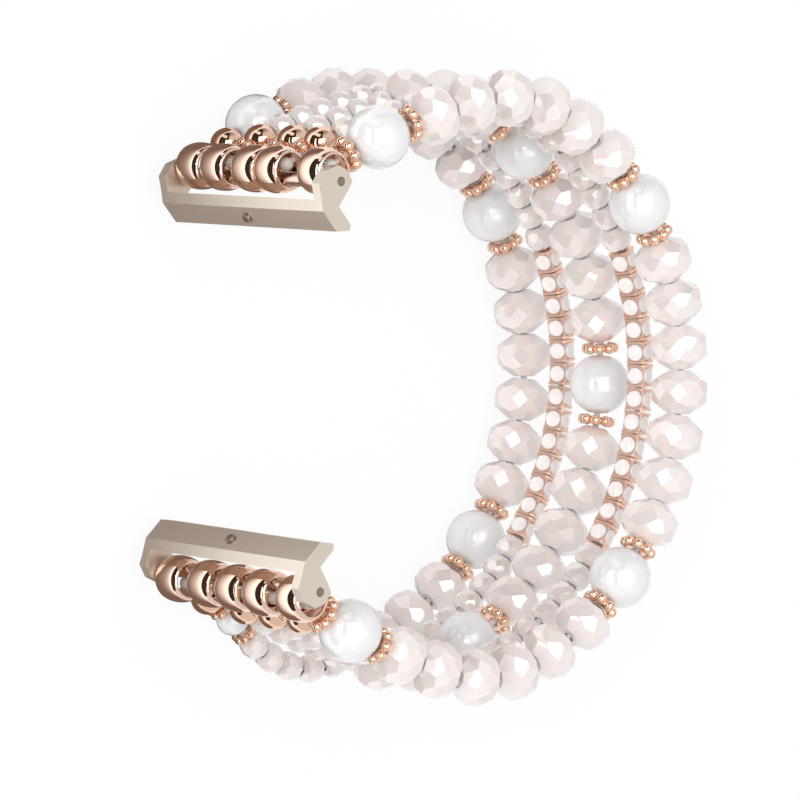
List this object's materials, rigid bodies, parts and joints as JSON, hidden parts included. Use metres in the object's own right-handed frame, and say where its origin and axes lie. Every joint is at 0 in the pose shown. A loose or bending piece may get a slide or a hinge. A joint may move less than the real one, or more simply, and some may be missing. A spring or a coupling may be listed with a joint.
{
  "type": "bead watch band",
  "caption": "Elastic bead band for a watch: strands of faceted crystals, pearls and chain links on cord, with rings on cross bars in lug adapters",
  "frame": {"origin": "middle of the footprint at the height of the lowest bead, as the band lies on its side", "axes": "+Z across the width of the band, from strand 1 at the bottom to strand 5 on top; +X from the gap for the watch to the back of the wrist; +Y from the lower end of the band to the upper end"},
  "size_m": [0.0538, 0.0656, 0.0319],
  "materials": {
    "crystal": "polished",
    "pearl": "polished",
    "copper_plate": "polished",
    "rose_gold": "polished",
    "chain_frame": "polished",
    "chain_disc": "polished",
    "champagne_steel": "satin",
    "pin_steel": "satin",
    "bar_steel": "polished",
    "elastic": "satin",
    "spring_steel": "satin"
  },
  "bodies": {
    "back_section": {"back_cords": "elastic", "back_daisy_spacers": "copper_plate", "strand_1_back_crystals": "crystal", "strand_2_back_small_crystals": "crystal", "strand_2_chain_discs": "chain_disc", "strand_2_chain_links": "chain_frame", "strand_3_back_crystals": "crystal", "strand_4_back_small_crystals": "crystal", "strand_4_chain_discs": "chain_disc", "strand_4_chain_links": "chain_frame", "strand_5_back_crystals": "crystal"},
    "upper_section": {"strand_1_upper_crystals": "crystal", "strand_2_upper_small_crystals": "crystal", "strand_3_upper_crystals": "crystal", "strand_3_upper_small_crystals": "crystal", "strand_4_upper_small_crystals": "crystal", "strand_5_upper_crystals": "crystal", "upper_balls": "copper_plate", "upper_cords": "elastic", "upper_daisy_spacers": "copper_plate", "upper_rings": "rose_gold"},
    "lower_section": {"lower_balls": "copper_plate", "lower_cords": "elastic", "lower_daisy_spacers": "copper_plate", "lower_rings": "rose_gold", "strand_1_lower_crystals": "crystal", "strand_1_lower_small_crystals": "crystal", "strand_2_lower_small_crystals": "crystal", "strand_3_lower_crystals": "crystal", "strand_3_lower_small_crystals": "crystal", "strand_4_lower_small_crystals": "crystal", "strand_5_lower_crystals": "crystal"},
    "upper_adapter": {"upper_bar_spring": "spring_steel", "upper_cross_bar": "bar_steel", "upper_lug_adapter": "champagne_steel", "upper_stud_spring": "spring_steel"},
    "lower_adapter": {"lower_bar_spring": "spring_steel", "lower_cross_bar": "bar_steel", "lower_lug_adapter": "champagne_steel", "lower_stud_spring": "spring_steel"},
    "lower_bottom_bar_tip": {"lower_bottom_bar_tip": "pin_steel"},
    "lower_lock_stud": {"lower_lock_stud": "pin_steel"},
    "lower_top_bar_tip": {"lower_top_bar_tip": "pin_steel"},
    "strand_1_back_pearl_1": {"strand_1_back_pearl_1": "pearl"},
    "strand_1_back_pearl_2": {"strand_1_back_pearl_2": "pearl"},
    "strand_1_lower_small_pearl_1": {"strand_1_lower_small_pearl_1": "pearl"},
    "strand_1_upper_pearl_1": {"strand_1_upper_pearl_1": "pearl"},
    "strand_3_back_pearl_1": {"strand_3_back_pearl_1": "pearl"},
    "strand_3_back_pearl_2": {"strand_3_back_pearl_2": "pearl"},
    "strand_3_lower_pearl_1": {"strand_3_lower_pearl_1": "pearl"},
    "strand_5_back_pearl_1": {"strand_5_back_pearl_1": "pearl"},
    "strand_5_back_pearl_2": {"strand_5_back_pearl_2": "pearl"},
    "strand_5_lower_pearl_1": {"strand_5_lower_pearl_1": "pearl"},
    "strand_5_upper_pearl_1": {"strand_5_upper_pearl_1": "pearl"},
    "upper_bottom_bar_tip": {"upper_bottom_bar_tip": "pin_steel"},
    "upper_lock_stud": {"upper_lock_stud": "pin_steel"},
    "upper_top_bar_tip": {"upper_top_bar_tip": "pin_steel"}
  },
  "joints": [
    {"name": "upper_flex", "type": "hinge", "parent": "back_section", "child": "upper_section", "pos_m": [0.01024, 0.02564, 0.01595], "axis": [0, 0, 1], "range_deg": [-10, 10], "stiffness_Nm_per_rad": 0.02},
    {"name": "lower_flex", "type": "hinge", "parent": "back_section", "child": "lower_section", "pos_m": [0.01024, -0.02542, 0.01595], "axis": [0, 0, -1], "range_deg": [-10, 10], "stiffness_Nm_per_rad": 0.02},
    {"name": "upper_adapter_hinge", "type": "hinge", "parent": "upper_section", "child": "upper_adapter", "pos_m": [-0.02399, 0.02052, 0.01595], "axis": [0, 0, 1], "range_deg": [-30, 30]},
    {"name": "lower_adapter_hinge", "type": "hinge", "parent": "lower_section", "child": "lower_adapter", "pos_m": [-0.02412, -0.02041, 0.01595], "axis": [0, 0, -1], "range_deg": [-30, 30]},
    {"name": "upper_top_bar_tip_slide", "type": "slide", "parent": "upper_adapter", "child": "upper_top_bar_tip", "axis": [0, 0, -1], "range_m": [0, 0.0009], "stiffness_N_per_m": 300, "springref_m": -0.0005},
    {"name": "upper_bottom_bar_tip_slide", "type": "slide", "parent": "upper_adapter", "child": "upper_bottom_bar_tip", "axis": [0, 0, 1], "range_m": [0, 0.0009], "stiffness_N_per_m": 300, "springref_m": -0.0005, "deforming": ["upper_bar_spring"]},
    {"name": "lower_top_bar_tip_slide", "type": "slide", "parent": "lower_adapter", "child": "lower_top_bar_tip", "axis": [0, 0, -1], "range_m": [0, 0.0009], "stiffness_N_per_m": 300, "springref_m": -0.0005},
    {"name": "lower_bottom_bar_tip_slide", "type": "slide", "parent": "lower_adapter", "child": "lower_bottom_bar_tip", "axis": [0, 0, 1], "range_m": [0, 0.0009], "stiffness_N_per_m": 300, "springref_m": -0.0005, "deforming": ["lower_bar_spring"]},
    {"name": "upper_lock_stud_slide", "type": "slide", "parent": "upper_adapter", "child": "upper_lock_stud", "axis": [0.7255, 0.6883, 0], "range_m": [0, 0.0004], "stiffness_N_per_m": 300, "springref_m": -0.0003},
    {"name": "lower_lock_stud_slide", "type": "slide", "parent": "lower_adapter", "child": "lower_lock_stud", "axis": [0.7255, -0.6883, 0], "range_m": [0, 0.0004], "stiffness_N_per_m": 300, "springref_m": -0.0003},
    {"name": "strand_1_back_pearl_1_spin", "type": "hinge", "parent": "back_section", "child": "strand_1_back_pearl_1", "pos_m": [0.01794, -0.01783, 0.00326], "axis": [0.5787, 0.8156, -0.0031], "continuous": true},
    {"name": "strand_1_back_pearl_2_spin", "type": "hinge", "parent": "back_section", "child": "strand_1_back_pearl_2", "pos_m": [0.01795, 0.01804, 0.00325], "axis": [-0.5782, 0.8159, 0], "continuous": true},
    {"name": "strand_1_lower_small_pearl_1_spin", "type": "hinge", "parent": "lower_section", "child": "strand_1_lower_small_pearl_1", "pos_m": [-0.01655, -0.02577, 0.00527], "axis": [0.7837, -0.6145, -0.0909], "continuous": true},
    {"name": "strand_1_upper_pearl_1_spin", "type": "hinge", "parent": "upper_section", "child": "strand_1_upper_pearl_1", "pos_m": [-0.01591, 0.02599, 0.00443], "axis": [-0.9094, -0.3835, 0.1612], "continuous": true},
    {"name": "strand_3_back_pearl_1_spin", "type": "hinge", "parent": "back_section", "child": "strand_3_back_pearl_1", "pos_m": [0.02366, 0.00011, 0.01595], "axis": [0, 1, 0], "continuous": true},
    {"name": "strand_3_back_pearl_2_spin", "type": "hinge", "parent": "back_section", "child": "strand_3_back_pearl_2", "pos_m": [0.01123, 0.02493, 0.01595], "axis": [-0.8007, 0.5991, -0.0002], "continuous": true},
    {"name": "strand_3_lower_pearl_1_spin", "type": "hinge", "parent": "lower_section", "child": "strand_3_lower_pearl_1", "pos_m": [0.00669, -0.02753, 0.01595], "axis": [0.8917, 0.4526, 0], "continuous": true},
    {"name": "strand_5_back_pearl_1_spin", "type": "hinge", "parent": "back_section", "child": "strand_5_back_pearl_1", "pos_m": [0.01661, -0.01957, 0.02863], "axis": [0.6347, 0.7727, 0.0048], "continuous": true},
    {"name": "strand_5_back_pearl_2_spin", "type": "hinge", "parent": "back_section", "child": "strand_5_back_pearl_2", "pos_m": [0.01663, 0.01977, 0.02865], "axis": [-0.6341, 0.7733, 0], "continuous": true},
    {"name": "strand_5_lower_pearl_1_spin", "type": "hinge", "parent": "lower_section", "child": "strand_5_lower_pearl_1", "pos_m": [-0.01772, -0.02468, 0.0265], "axis": [0.8977, -0.4323, 0.0855], "continuous": true},
    {"name": "strand_5_upper_pearl_1_spin", "type": "hinge", "parent": "upper_section", "child": "strand_5_upper_pearl_1", "pos_m": [-0.01776, 0.02515, 0.02712], "axis": [-0.8834, -0.4325, -0.1801], "continuous": true}
  ]
}
